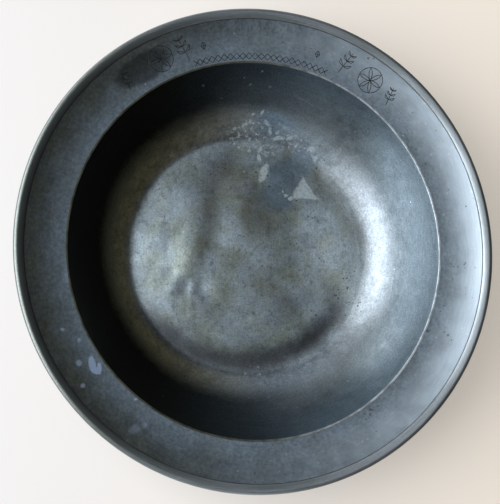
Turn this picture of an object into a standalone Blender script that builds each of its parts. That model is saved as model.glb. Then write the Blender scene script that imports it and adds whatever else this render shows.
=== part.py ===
"""Pewter basin: a deep turned bowl, a broad dished brim and a reeded edge. Metres, +Z up, base on z = 0."""

import math

import bpy

# Driving sizes, in metres and degrees
OUTER_DIAMETER = 0.330
BRIM_WIDTH = 0.0364
FLOOR_DIAMETER = 0.164
BOWL_DEPTH = 0.042
BOWL_THICKNESS = 0.0022
FLOOR_CROWN = 0.005
BOUGE_FOOT_SLOPE = 27.0
LIP_WIDTH = 0.0014
LIP_HEIGHT = 0.0004
BASE_BAND_WIDTH = 0.007
BASE_BAND_BLEND = 0.003
SEAT_WIDTH = 0.0055
SEAT_THICKNESS = 0.0016
BRIM_THICKNESS = 0.0019
BRIM_FOOT_SLOPE = 8.0
BRIM_EDGE_RISE = 0.0070
REED_WIDTH = 0.0070
REED_THICKNESS = 0.0046
REED_HEIGHT_ABOVE_BRIM = 0.0004
REED_GROOVE_CHAMFER = 0.0006
REED_LEDGE_WIDTH = 0.004
SEAM_GAP = 0.0003

# How finely the round shapes are divided
STEPS_AROUND = 80
FLOOR_POINTS = 5
BOUGE_POINTS = 9
SEAT_POINTS = 3
BRIM_POINTS = 6
NOSE_STEPS = 4

# Points of the sweep that lie closer than this become one
MERGE_DISTANCE = 0.00005

PEWTER = (0.115, 0.130, 0.137, 1.0)
PEWTER_DARK = (0.085, 0.097, 0.103, 1.0)
PEWTER_WORN = (0.230, 0.250, 0.262, 1.0)
PEWTER_ROUGHNESS = 0.42
DARK_ROUGHNESS = 0.45
WORN_ROUGHNESS = 0.38


class Arc:
    """A circular arc in the (radius, height) half-plane that leaves its start at a set slope, in degrees."""

    def __init__(self, start, end, start_slope):
        chord = math.dist(start, end)
        chord_angle = math.atan2(end[1] - start[1], end[0] - start[0])
        self.first = math.radians(start_slope)
        self.last = 2.0 * chord_angle - self.first
        self.radius = chord / (2.0 * math.sin(chord_angle - self.first))
        self.centre_r = start[0] - self.radius * math.sin(self.first)
        self.centre_z = start[1] + self.radius * math.cos(self.first)

    def at(self, angle, below=0.0):
        """The point where the arc slopes at an angle, moved square to the arc by a depth below it."""
        reach = self.radius + below
        return (self.centre_r + reach * math.sin(angle), self.centre_z - reach * math.cos(angle))

    def angle_at_radius(self, r, below=0.0):
        """The slope angle where the arc, moved below itself, stands at radius r."""
        return math.asin((r - self.centre_r) / (self.radius + below))

    def angle_at_height(self, z, below=0.0):
        """The slope angle where the arc, moved below itself, stands at height z."""
        return math.acos((self.centre_z - z) / (self.radius + below))

    def points(self, first, last, count, below=0.0):
        """Evenly turned points from one slope angle to another."""
        step = (last - first) / (count - 1)
        return [self.at(first + step * index, below) for index in range(count)]


# Radii and heights that the pieces share
OUTER_RADIUS = OUTER_DIAMETER / 2.0
MOUTH_RADIUS = OUTER_RADIUS - BRIM_WIDTH
FLOOR_RADIUS = FLOOR_DIAMETER / 2.0
MOUTH_HEIGHT = BOWL_THICKNESS + BOWL_DEPTH
LIP_RADIUS = MOUTH_RADIUS + LIP_WIDTH
BRIM_INNER_RADIUS = LIP_RADIUS + SEAM_GAP
REED_INNER_RADIUS = OUTER_RADIUS - REED_WIDTH
BRIM_OUTER_RADIUS = REED_INNER_RADIUS - SEAM_GAP
BRIM_EDGE_HEIGHT = MOUTH_HEIGHT + BRIM_EDGE_RISE
SEAT_DEPTH = BRIM_THICKNESS + SEAM_GAP

FLOOR_CURVE = Arc((0.0, BOWL_THICKNESS + FLOOR_CROWN), (FLOOR_RADIUS, BOWL_THICKNESS), 0.0)
BOUGE_CURVE = Arc((FLOOR_RADIUS, BOWL_THICKNESS), (MOUTH_RADIUS, MOUTH_HEIGHT), BOUGE_FOOT_SLOPE)
BRIM_CURVE = Arc((BRIM_INNER_RADIUS, MOUTH_HEIGHT), (BRIM_OUTER_RADIUS, BRIM_EDGE_HEIGHT), BRIM_FOOT_SLOPE)


def bowl_profile():
    """From the middle of the floor up the inside, over the lip and the brim's seat, and down to the base."""
    floor_top = FLOOR_CURVE.points(FLOOR_CURVE.first, FLOOR_CURVE.last, FLOOR_POINTS)
    bouge_inside = BOUGE_CURVE.points(BOUGE_CURVE.first, BOUGE_CURVE.last, BOUGE_POINTS)
    lip_top = MOUTH_HEIGHT + LIP_HEIGHT
    lip = [
        (MOUTH_RADIUS + LIP_HEIGHT, lip_top),
        (LIP_RADIUS - LIP_HEIGHT, lip_top),
        (LIP_RADIUS, MOUTH_HEIGHT),
    ]
    seat_start = BRIM_CURVE.angle_at_radius(LIP_RADIUS, SEAT_DEPTH)
    seat_end = BRIM_CURVE.angle_at_radius(LIP_RADIUS + SEAT_WIDTH, SEAT_DEPTH)
    seat_top = BRIM_CURVE.points(seat_start, seat_end, SEAT_POINTS, SEAT_DEPTH)
    seat_underside = BRIM_CURVE.at(seat_end, SEAT_DEPTH + SEAT_THICKNESS)
    wall_top_height = BRIM_CURVE.at(seat_start, SEAT_DEPTH + SEAT_THICKNESS)[1]
    wall_top = BOUGE_CURVE.angle_at_height(wall_top_height, BOWL_THICKNESS)
    wall_outside = BOUGE_CURVE.points(wall_top, BOUGE_CURVE.first, BOUGE_POINTS, BOWL_THICKNESS)
    band_outer = FLOOR_RADIUS + BOWL_THICKNESS * math.tan(BOUGE_CURVE.first / 2.0)
    band_inner = band_outer - BASE_BAND_WIDTH
    base_band = [(band_outer, 0.0), (band_inner, 0.0)]
    hollow_edge = FLOOR_CURVE.angle_at_radius(band_inner - BASE_BAND_BLEND, BOWL_THICKNESS)
    hollow = FLOOR_CURVE.points(hollow_edge, FLOOR_CURVE.first, FLOOR_POINTS, BOWL_THICKNESS)
    return floor_top + bouge_inside[1:] + lip + seat_top + [seat_underside] + wall_outside + base_band + hollow


def brim_profile():
    """A closed outline: along the dished top from the mouth to the reed, and back along the underside."""
    top = BRIM_CURVE.points(BRIM_CURVE.first, BRIM_CURVE.last, BRIM_POINTS)
    outer_foot = BRIM_CURVE.angle_at_radius(BRIM_OUTER_RADIUS, BRIM_THICKNESS)
    inner_foot = BRIM_CURVE.angle_at_radius(BRIM_INNER_RADIUS, BRIM_THICKNESS)
    underside = BRIM_CURVE.points(outer_foot, inner_foot, BRIM_POINTS, BRIM_THICKNESS)
    return top + underside


def reed_profile():
    """A closed outline: a bar with a half-round nose, on the brim's own slope, and a ledge below the brim."""
    slope = BRIM_CURVE.last
    along_r, along_z = math.cos(slope), math.sin(slope)
    nose_radius = REED_THICKNESS / 2.0
    seam_z = BRIM_CURVE.at(BRIM_CURVE.angle_at_radius(REED_INNER_RADIUS))[1]
    top_r = REED_INNER_RADIUS - REED_HEIGHT_ABOVE_BRIM * along_z
    top_z = seam_z + REED_HEIGHT_ABOVE_BRIM * along_r
    top_length = (OUTER_RADIUS - nose_radius - top_r - nose_radius * along_z) / along_r
    nose_r = top_r + top_length * along_r + nose_radius * along_z
    nose_z = top_z + top_length * along_z - nose_radius * along_r
    shoulder = [
        (REED_INNER_RADIUS, seam_z - REED_GROOVE_CHAMFER),
        (top_r + REED_GROOVE_CHAMFER * along_r, top_z + REED_GROOVE_CHAMFER * along_z),
    ]
    shares = [index / NOSE_STEPS for index in range(NOSE_STEPS + 1)]
    angles = [(slope + math.pi / 2.0) * (1.0 - share) for share in shares]
    angles += [(slope - math.pi / 2.0) * share for share in shares[1:]]
    nose = [(nose_r + nose_radius * math.cos(a), nose_z + nose_radius * math.sin(a)) for a in angles]
    ledge_radius = REED_INNER_RADIUS - REED_LEDGE_WIDTH
    underside_r, underside_z = nose[-1]
    ledge_foot = (ledge_radius, underside_z - (underside_r - ledge_radius) * math.tan(slope))
    ledge_start = BRIM_CURVE.angle_at_radius(ledge_radius, SEAT_DEPTH)
    ledge_end = BRIM_CURVE.angle_at_radius(REED_INNER_RADIUS, SEAT_DEPTH)
    ledge_top = BRIM_CURVE.points(ledge_start, ledge_end, SEAT_POINTS, SEAT_DEPTH)
    return shoulder + nose + [ledge_foot] + ledge_top


def pewter(name, colour, roughness):
    """A plain pewter material."""
    material = bpy.data.materials.new(name)
    material.use_nodes = True
    shader = material.node_tree.nodes["Principled BSDF"]
    shader.inputs["Base Color"].default_value = colour
    shader.inputs["Metallic"].default_value = 1.0
    shader.inputs["Roughness"].default_value = roughness
    material.diffuse_color = colour
    return material


def turned_piece(name, profile, closed, material, collection, parent):
    """A profile in the XZ plane, swept once round the vertical axis by a Screw modifier."""
    count = len(profile)
    edges = [(index, index + 1) for index in range(count - 1)]
    if closed:
        edges.append((count - 1, 0))
    mesh = bpy.data.meshes.new(name)
    mesh.from_pydata([(r, 0.0, z) for r, z in profile], edges, [])
    mesh.materials.append(material)
    piece = bpy.data.objects.new(name, mesh)
    piece.parent = parent
    collection.objects.link(piece)
    screw = piece.modifiers.new("turned", "SCREW")
    screw.axis = "Z"
    screw.angle = 2.0 * math.pi
    screw.steps = STEPS_AROUND
    screw.render_steps = STEPS_AROUND
    screw.use_merge_vertices = True
    screw.merge_threshold = MERGE_DISTANCE
    screw.use_smooth_shade = True
    return piece


def main():
    for old in list(bpy.data.objects):
        bpy.data.objects.remove(old)
    collection = bpy.data.collections.new("pewter_basin")
    bpy.context.scene.collection.children.link(collection)
    basin = bpy.data.objects.new("basin_axis", None)
    collection.objects.link(basin)
    bowl_metal = pewter("bowl_pewter", PEWTER, PEWTER_ROUGHNESS)
    brim_metal = pewter("brim_pewter", PEWTER_DARK, DARK_ROUGHNESS)
    reed_metal = pewter("reed_pewter", PEWTER_WORN, WORN_ROUGHNESS)
    turned_piece("bowl", bowl_profile(), False, bowl_metal, collection, basin)
    turned_piece("brim", brim_profile(), True, brim_metal, collection, basin)
    turned_piece("edge_reed", reed_profile(), True, reed_metal, collection, basin)


main()
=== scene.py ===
"""Pewter basin, dressed: dense turned metal with dents, stains and engraving, in soft light."""

from collections import namedtuple
from functools import reduce
import math

import bmesh
import bpy
import numpy as np
from mathutils import Matrix, Vector, noise


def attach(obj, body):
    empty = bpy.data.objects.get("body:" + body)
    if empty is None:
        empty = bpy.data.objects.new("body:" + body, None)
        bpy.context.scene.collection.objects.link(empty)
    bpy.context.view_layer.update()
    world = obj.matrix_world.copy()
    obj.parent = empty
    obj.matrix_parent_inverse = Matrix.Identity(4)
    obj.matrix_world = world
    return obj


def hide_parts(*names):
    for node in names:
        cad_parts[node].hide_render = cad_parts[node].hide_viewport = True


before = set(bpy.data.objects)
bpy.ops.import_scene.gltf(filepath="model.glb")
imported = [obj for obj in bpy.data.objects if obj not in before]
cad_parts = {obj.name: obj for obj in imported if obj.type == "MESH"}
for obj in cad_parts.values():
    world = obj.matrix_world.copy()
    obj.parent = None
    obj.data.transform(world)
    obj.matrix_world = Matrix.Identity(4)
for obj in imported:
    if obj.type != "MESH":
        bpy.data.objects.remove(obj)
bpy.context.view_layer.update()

# Sizes of the basin, in metres and degrees, as its solids have them
OUTER_RADIUS = 0.165
BRIM_WIDTH = 0.0364
FLOOR_RADIUS = 0.082
BOWL_DEPTH = 0.042
BOWL_THICKNESS = 0.0022
FLOOR_CROWN = 0.005
BOUGE_FOOT_SLOPE = 27.0
LIP_WIDTH = 0.0014
BASE_BAND_WIDTH = 0.007
BASE_BAND_BLEND = 0.003
SEAT_WIDTH = 0.0055
SEAT_THICKNESS = 0.0016
BRIM_THICKNESS = 0.0019
BRIM_FOOT_SLOPE = 8.0
BRIM_EDGE_RISE = 0.007
REED_WIDTH = 0.007
REED_THICKNESS = 0.0046
REED_HEIGHT_ABOVE_BRIM = 0.0004
REED_LEDGE_WIDTH = 0.004
SEAM_GAP = 0.0003

# Finer shapes that the solids leave out, in metres and in shares of a length
VALLEY_BLEND_LEFT = 0.0014
VALLEY_BLEND_RIGHT = 0.0062
VALLEY_FADE_START = 0.25
VALLEY_FADE_LENGTH = 0.5
LIP_ROUND = 0.00025
SOLDERED_SEAM = 0.00003
BRIM_EDGE_ROUND = 0.00006
REED_TRIM = 0.00003
REED_GROOVE = 0.0005
REED_SEAM = 0.0002
REED_SHOULDER_ALONG = 0.35
REED_SHOULDER_DROP = 0.3
REED_FLAT_SHARE = 0.6

# How finely the metal is divided, and how its edges are shaded
BOWL_STEPS = 360
BRIM_STEPS = 720
FLOOR_RINGS = 46
VALLEY_RINGS = 22
BOUGE_RINGS = 34
VALLEY_START = 0.075
VALLEY_END = 0.091
LIP_RINGS = 6
SEAT_RINGS = 3
UNDERSIDE_RINGS = 12
BRIM_RINGS = 22
NOSE_RINGS = 7
MERGE_DISTANCE = 1e-7
SHARP_ANGLE = 40.0
BRIM_SHARP_ANGLE = 20.0

# Camera: it looks almost straight down, from a little to the lower left
VIEW_TILT = 13.8
VIEW_AZIMUTH = 211.0
VIEW_DISTANCE = 1.0501
VIEW_AIM = (-0.00637, -0.00291, 0.048)
VIEW_LENS = 111.2

# Millimetres in a metre, and angles in radians
MM = 1000.0
QUARTER_TURN = math.pi / 2.0
FULL_TURN = 2.0 * math.pi


class Arc:
    """A circular arc in (radius, height) that leaves its start at a slope in degrees."""

    def __init__(self, start, end, start_slope):
        chord = math.dist(start, end)
        chord_angle = math.atan2(end[1] - start[1], end[0] - start[0])
        self.first = math.radians(start_slope)
        self.last = 2.0 * chord_angle - self.first
        self.radius = chord / (2.0 * math.sin(chord_angle - self.first))
        self.centre_r = start[0] - self.radius * math.sin(self.first)
        self.centre_z = start[1] + self.radius * math.cos(self.first)

    def height(self, r, below=0.0):
        """The height at radius r of the arc, moved square to itself by a depth."""
        reach = self.radius + below
        return self.centre_z - np.sign(reach) * np.sqrt(reach ** 2 - (np.asarray(r) - self.centre_r) ** 2)

    def radius_at(self, z, below=0.0):
        """The radius where the arc, moved below itself, stands at height z."""
        return self.centre_r + math.sqrt((self.radius + below) ** 2 - (self.centre_z - z) ** 2)

    def slope(self, r):
        """The slope angle at radius r."""
        return math.asin((r - self.centre_r) / self.radius)

    def line(self, first_r, last_r, count, below=0.0):
        """Points from one radius to another, as a list of (radius, height)."""
        radii = np.linspace(first_r, last_r, count)
        return list(zip(radii, self.height(radii, below)))


# Radii and heights that the pieces share
MOUTH_RADIUS = OUTER_RADIUS - BRIM_WIDTH
MOUTH_HEIGHT = BOWL_THICKNESS + BOWL_DEPTH
LIP_RADIUS = MOUTH_RADIUS + LIP_WIDTH
BRIM_INNER_RADIUS = LIP_RADIUS + SEAM_GAP
REED_INNER_RADIUS = OUTER_RADIUS - REED_WIDTH
BRIM_OUTER_RADIUS = REED_INNER_RADIUS - SEAM_GAP
SEAT_DEPTH = BRIM_THICKNESS + SEAM_GAP

FLOOR_CURVE = Arc((0.0, BOWL_THICKNESS + FLOOR_CROWN), (FLOOR_RADIUS, BOWL_THICKNESS), 0.0)
BOUGE_CURVE = Arc((FLOOR_RADIUS, BOWL_THICKNESS), (MOUTH_RADIUS, MOUTH_HEIGHT), BOUGE_FOOT_SLOPE)
BRIM_CURVE = Arc(
    (BRIM_INNER_RADIUS, MOUTH_HEIGHT),
    (BRIM_OUTER_RADIUS, MOUTH_HEIGHT + BRIM_EDGE_RISE),
    BRIM_FOOT_SLOPE,
)

# Dents in the bowl, in millimetres and degrees: x, y, length, width, turn, depth
DENTS = [
    (-33, 53, 40, 22, 62, -0.26),
    (-38, 27, 50, 24, 84, -0.42),
    (-43, 0, 34, 22, 66, -0.55),
    (-12, 56, 36, 24, 62, 0.6),
    (-20, 32, 46, 24, 84, 0.8),
    (-25, 6, 36, 24, 66, 0.7),
    (-54, -15, 13, 10, 60, 0.5),
    (-43, -24, 13, 11.5, 80, 0.86),
    (-32.5, -23, 13, 11.5, 70, 0.86),
    (-27, -29, 11, 9, 40, 0.35),
    (-38, -23, 15, 6, 80, -0.24),
    (14, 44, 44, 26, 110, 0.45),
    (30, -28, 40, 26, 30, -0.45),
    (4, -10, 40, 18, 130, 0.35),
    (4, -60, 80, 18, 3, -0.7),
    (46, -50, 44, 18, 42, -0.6),
    (75, 18, 100, 38, 102, -1.8),
]

# Smooth unevenness: its height and length in millimetres, and its seed
Waves = namedtuple("Waves", "height length seed")
BOWL_WAVES = [Waves(0.22, 34, 3), Waves(0.035, 11, 8)]
BRIM_WAVES = Waves(0.1, 30, 5)
NICKS = Waves(0.16, 5, 2)
NICK_THRESHOLD = 0.15


def uneven(points, waves):
    """Smooth seeded unevenness between -1 and 1 at some points."""
    places = points[:, :2] * MM / waves.length
    return np.array([noise.noise(Vector((x, y, waves.seed))) for x, y in places])


def local_offset(x, y, oval):
    """Where points lie along and across an oval: 1 at its outline."""
    centre_x, centre_y, length, width, turn = oval
    cosine = math.cos(math.radians(turn))
    sine = math.sin(math.radians(turn))
    along = ((x - centre_x) * cosine + (y - centre_y) * sine) / (length / 2.0)
    across = ((y - centre_y) * cosine - (x - centre_x) * sine) / (width / 2.0)
    return along, across


def axis_distance(points):
    """How far points lie from the basin's axis."""
    return np.hypot(points[:, 0], points[:, 1])


def uneven_bowl(points):
    """Height to add to the bowl's inside: dents and waves, none at the lip."""
    rise = sum(waves.height * uneven(points, waves) for waves in BOWL_WAVES)
    x = points[:, 0] * MM
    y = points[:, 1] * MM
    for *oval, depth in DENTS:
        along, across = local_offset(x, y, oval)
        rise -= depth * np.exp(-along ** 2 - across ** 2)
    fade = np.clip((MOUTH_RADIUS - axis_distance(points)) / (MOUTH_RADIUS - VALLEY_END), 0.0, 1.0)
    return rise * fade / MM


def valley_fill(points):
    """Height to add where the floor meets the wall: a soft turn, broader on the right."""
    radius = axis_distance(points)
    right = (1.0 + points[:, 0] / np.maximum(radius, VALLEY_BLEND_LEFT)) / 2.0
    blend = VALLEY_BLEND_LEFT + (VALLEY_BLEND_RIGHT - VALLEY_BLEND_LEFT) * right ** 2
    apart = FLOOR_CURVE.height(radius) - BOUGE_CURVE.height(radius)
    fill = (np.sqrt(apart ** 2 + blend ** 2) - np.abs(apart)) / 2.0
    outer_fade = np.clip((MOUTH_RADIUS - radius) / (MOUTH_RADIUS - FLOOR_RADIUS), 0.0, 1.0)
    inner_fade = np.clip((radius / FLOOR_RADIUS - VALLEY_FADE_START) / VALLEY_FADE_LENGTH, 0.0, 1.0)
    return fill * outer_fade * inner_fade


def uneven_brim(points):
    """Height to add to the brim's top, none at its edges."""
    share = (axis_distance(points) - BRIM_INNER_RADIUS) / (BRIM_OUTER_RADIUS - BRIM_INNER_RADIUS)
    fade = np.clip(1.0 - (2.0 * share - 1.0) ** 2, 0.0, 1.0)
    return BRIM_WAVES.height * uneven(points, BRIM_WAVES) * fade / MM


def bowl_profile():
    """The bowl's section, from floor over lip to base, and how many points are inside."""
    radii = np.concatenate([
        np.linspace(0.0, VALLEY_START, FLOOR_RINGS),
        np.linspace(VALLEY_START, VALLEY_END, VALLEY_RINGS)[1:],
        np.linspace(VALLEY_END, MOUTH_RADIUS, BOUGE_RINGS)[1:],
    ])
    inside = np.maximum(FLOOR_CURVE.height(radii), BOUGE_CURVE.height(radii))
    turns = np.linspace(math.pi, QUARTER_TURN, LIP_RINGS)[1:]
    lip = [(LIP_RADIUS + LIP_WIDTH * math.cos(t), MOUTH_HEIGHT + LIP_ROUND * math.sin(t)) for t in turns]
    seat_end = LIP_RADIUS + SEAT_WIDTH
    seat = BRIM_CURVE.line(LIP_RADIUS, seat_end, SEAT_RINGS, SEAT_DEPTH)
    seat_bottom = (seat_end, float(BRIM_CURVE.height(seat_end, SEAT_DEPTH + SEAT_THICKNESS)))
    wall_height = float(BRIM_CURVE.height(LIP_RADIUS, SEAT_DEPTH + SEAT_THICKNESS))
    wall_top = BOUGE_CURVE.radius_at(wall_height, BOWL_THICKNESS)
    wall_foot = FLOOR_RADIUS + BOWL_THICKNESS * math.sin(BOUGE_CURVE.first)
    outside = BOUGE_CURVE.line(wall_top, wall_foot, UNDERSIDE_RINGS, BOWL_THICKNESS)
    band_outer = FLOOR_RADIUS + BOWL_THICKNESS * math.tan(BOUGE_CURVE.first / 2.0)
    band_inner = band_outer - BASE_BAND_WIDTH
    hollow = FLOOR_CURVE.line(band_inner - BASE_BAND_BLEND, 0.0, UNDERSIDE_RINGS, BOWL_THICKNESS)
    section = list(zip(radii, inside)) + lip + seat + [seat_bottom] + outside
    section += [(band_outer, 0.0), (band_inner, 0.0)] + hollow
    return section, len(radii) - 1


def brim_profile():
    """The brim's closed section and how many of its first points form the top."""
    inner = LIP_RADIUS + SOLDERED_SEAM
    outer = REED_INNER_RADIUS - REED_SEAM
    top = BRIM_CURVE.line(inner + BRIM_EDGE_ROUND, outer - BRIM_EDGE_ROUND, BRIM_RINGS)
    outer_side = [(outer, top[-1][1] - BRIM_EDGE_ROUND)]
    underside = BRIM_CURVE.line(outer, inner, UNDERSIDE_RINGS, BRIM_THICKNESS)
    inner_side = [(inner, top[0][1] - BRIM_EDGE_ROUND)]
    return top + outer_side + underside + inner_side, len(top)


def reed_profile():
    """The reed's closed section: a bar on the brim's slope with a half-round nose, and a ledge."""
    slope = BRIM_CURVE.last
    along = np.array((math.cos(slope), math.sin(slope)))
    square = np.array((-along[1], along[0]))
    nose_radius = REED_THICKNESS / 2.0
    seam = np.array((REED_INNER_RADIUS, float(BRIM_CURVE.height(REED_INNER_RADIUS))))
    top = seam + (REED_HEIGHT_ABOVE_BRIM - REED_TRIM) * square
    top_length = (OUTER_RADIUS - nose_radius - top[0] - nose_radius * along[1]) / along[0]
    nose_centre = top + top_length * along - nose_radius * square
    shoulder = [
        seam - (0.0, REED_GROOVE),
        top + REED_GROOVE * (REED_SHOULDER_ALONG * along - REED_SHOULDER_DROP * square),
        top + REED_GROOVE * along,
        top + REED_FLAT_SHARE * top_length * along,
    ]
    upper = np.linspace(slope + QUARTER_TURN, 0.0, NOSE_RINGS)
    lower = np.linspace(0.0, slope - QUARTER_TURN, NOSE_RINGS)[1:]
    nose = [nose_centre + nose_radius * np.array((math.cos(t), math.sin(t))) for t in [*upper, *lower]]
    ledge_radius = REED_INNER_RADIUS - REED_LEDGE_WIDTH
    ledge_foot = (ledge_radius, nose[-1][1] - (nose[-1][0] - ledge_radius) * math.tan(slope))
    ledge = BRIM_CURVE.line(ledge_radius, REED_INNER_RADIUS, SEAT_RINGS, SEAT_DEPTH)
    return [tuple(point) for point in shoulder + nose] + [ledge_foot] + ledge


def ring_points(section, steps):
    """The points of a section swept round the axis, as an array [ring, step, xyz]."""
    turns = np.linspace(0.0, FULL_TURN, steps, endpoint=False)
    radii, heights = np.array(section).T[:, :, None]
    x = radii * np.cos(turns)
    y = radii * np.sin(turns)
    return np.stack([x, y, np.broadcast_to(heights, x.shape)], axis=-1)


def ring_faces(rings, steps, closed):
    """Quads between neighbouring rings, and from the last to the first where closed."""
    faces = []
    pairs = [(ring, ring + 1) for ring in range(rings - 1)]
    if closed:
        pairs.append((rings - 1, 0))
    for lower, upper in pairs:
        low = lower * steps
        high = upper * steps
        for step in range(steps):
            after = (step + 1) % steps
            faces.append((low + step, low + after, high + after, high + step))
    return faces


def add_object(name, data):
    """A new object in the scene."""
    added = bpy.data.objects.new(name, data)
    bpy.context.scene.collection.objects.link(added)
    return added


def build_piece(name, points, faces, material, sharp_angle=SHARP_ANGLE):
    """A mesh object with merged points and smooth shading between sharp edges."""
    mesh = bpy.data.meshes.new(name)
    mesh.from_pydata(points, [], faces)
    work = bmesh.new()
    work.from_mesh(mesh)
    bmesh.ops.remove_doubles(work, verts=work.verts, dist=MERGE_DISTANCE)
    bmesh.ops.recalc_face_normals(work, faces=work.faces)
    work.to_mesh(mesh)
    work.free()
    mesh.materials.append(material)
    mesh.shade_smooth()
    mesh.set_sharp_from_angle(angle=math.radians(sharp_angle))
    piece = add_object(name, mesh)
    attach(piece, "root")
    return piece


def make_bowl(material):
    """The bowl with its dented inside."""
    section, inside_count = bowl_profile()
    points = ring_points(section, BOWL_STEPS)
    inside = points[:inside_count].reshape(-1, 3)
    inside[:, 2] += valley_fill(inside) + uneven_bowl(inside)
    faces = ring_faces(len(section), BOWL_STEPS, False)
    bowl = build_piece("bowl_dressed", points.reshape(-1, 3).tolist(), faces, material)
    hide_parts("bowl")


def make_brim(material):
    """The brim with its slightly uneven top."""
    section, top_count = brim_profile()
    points = ring_points(section, BRIM_STEPS)
    top = points[:top_count].reshape(-1, 3)
    top[:, 2] += uneven_brim(top)
    faces = ring_faces(len(section), BRIM_STEPS, True)
    brim = build_piece("brim_dressed", points.reshape(-1, 3).tolist(), faces, material, BRIM_SHARP_ANGLE)
    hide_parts("brim")


def make_reed(material):
    """The reed, with small nicks worn into its edge."""
    section = reed_profile()
    points = ring_points(section, BRIM_STEPS).reshape(-1, 3)
    radius = axis_distance(points)
    worn = np.clip(uneven(points, NICKS) - NICK_THRESHOLD, 0.0, 1.0)
    edge = np.clip((radius - REED_INNER_RADIUS) / REED_WIDTH, 0.0, 1.0) ** 2
    points[:, :2] *= (1.0 - worn * edge * NICKS.height / MM / radius)[:, None]
    faces = ring_faces(len(section), BRIM_STEPS, True)
    reed = build_piece("edge_reed_dressed", points.tolist(), faces, material)
    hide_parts("edge_reed")


# Engraving on the brim, in millimetres, degrees and shares of a length
STROKE_WIDTH = 0.72
STROKE_BURR = 0.05
STROKE_ROOT = 0.1
STROKE_STEP = 1.1
BURR_PLACE = 0.55
FURROW_SHARE = 0.2
STROKE_END_WIDTH = 0.45
BORDER_FIRST = 109.5
BORDER_LAST = 68.5
BORDER_TEETH = 22
BORDER_INNER = 131.2
BORDER_OUTER = 135.6
ROSETTE_PLACES = [(118, 144.4, 8.6), (56.5, 143.6, 8.6)]
PETALS = 6
CIRCLE_POINTS = 40
PETAL_POINTS = 9
SPRIG_PLACES = [
    (110.4, 136.4, 17.5, -12),
    (65.6, 136.4, 17, 12),
    (130, 137, 13, 16),
    (48.6, 137, 13, -16),
]
SPRIG_LEAVES = 3
LEAF_FIRST = 0.35
LEAF_SPACING = 0.25
LEAF_LENGTH = 0.34
LEAF_SHORTENING = 0.06
LEAF_ANGLE = 52.0
LEAF_BULGE = 0.6
LEAF_BULGE_ANGLE = 80.0
LOZENGE_PLACES = [(105.6, 143.5, 2.6), (73, 142.8, 2.4)]
LOZENGE_WIDTH = 0.7


def brim_place(turn, r):
    """The point of the brim's top at an angle in degrees and a radius in millimetres, with its normal."""
    angle = math.radians(turn)
    radius = r / MM
    slope = BRIM_CURVE.slope(radius)
    point = Vector((radius * math.cos(angle), radius * math.sin(angle), float(BRIM_CURVE.height(radius))))
    lean = -math.sin(slope)
    normal = Vector((lean * math.cos(angle), lean * math.sin(angle), math.cos(slope)))
    point.z += float(uneven_brim(np.array([point]))[0])
    return point, normal


def even_line(line):
    """A line of (degrees, millimetres) points in short even steps."""
    result = [line[0]]
    for (turn_a, r_a), (turn_b, r_b) in zip(line, line[1:]):
        length = math.hypot(math.radians(turn_b - turn_a) * (r_a + r_b) / 2.0, r_b - r_a)
        count = max(1, round(length / STROKE_STEP))
        for index in range(1, count + 1):
            share = index / count
            result.append((turn_a + (turn_b - turn_a) * share, r_a + (r_b - r_a) * share))
    return result


def stroke(line, points, faces):
    """Adds one cut line: a bar sunk in the brim, with a burr on each side and a furrow between."""
    places = [brim_place(turn, r) for turn, r in even_line(line)]
    half = STROKE_WIDTH / 2.0 / MM
    burr = STROKE_BURR / MM
    root = STROKE_ROOT / MM
    section = [
        (-half, -root),
        (-half * BURR_PLACE, burr),
        (0.0, FURROW_SHARE * burr),
        (half * BURR_PLACE, burr),
        (half, -root),
    ]
    size = len(section)
    first = len(points)
    for index, (place, normal) in enumerate(places):
        before = places[max(index - 1, 0)][0]
        after = places[min(index + 1, len(places) - 1)][0]
        side = (after - before).cross(normal).normalized()
        width = STROKE_END_WIDTH if index in (0, len(places) - 1) else 1.0
        points.extend(tuple(place + side * across * width + normal * up) for across, up in section)
    last = first + (len(places) - 1) * size
    for here in range(first, last, size):
        for corner in range(size):
            following = (corner + 1) % size
            faces.append((here + corner, here + following, here + size + following, here + size + corner))
    faces.append(tuple(range(first, first + size)))
    faces.append(tuple(range(last, last + size)))


def flat_to_brim(centre, drawing):
    """Turns (sideways, outward) millimetres about a place on the brim into (degrees, millimetres)."""
    turn, r = centre
    return [(turn - math.degrees(across / r), r + outward) for across, outward in drawing]


def border_lines():
    """Two crossing zigzags along the mouth."""
    turns = np.linspace(BORDER_FIRST, BORDER_LAST, BORDER_TEETH + 1)
    ends = (BORDER_INNER, BORDER_OUTER)
    return [[(turn, ends[(index + start) % 2]) for index, turn in enumerate(turns)] for start in (0, 1)]


def rosette_lines(centre, radius):
    """A six-petal compass rosette in a ring."""
    ring = [FULL_TURN * index / CIRCLE_POINTS for index in range(CIRCLE_POINTS + 1)]
    lines = [flat_to_brim(centre, [(radius * math.cos(t), radius * math.sin(t)) for t in ring])]
    spread = FULL_TURN / PETALS
    for petal in range(PETALS):
        facing = spread * petal
        focus = (radius * math.cos(facing), radius * math.sin(facing))
        opening = np.linspace(facing + math.pi - spread, facing + math.pi + spread, PETAL_POINTS)
        arc = [(focus[0] + radius * math.cos(t), focus[1] + radius * math.sin(t)) for t in opening]
        lines.append(flat_to_brim(centre, arc))
    return lines


def reached(start, length, angle):
    """The point at a length from a start, at an angle from straight outward."""
    return (start[0] + length * math.sin(angle), start[1] + length * math.cos(angle))


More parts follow.
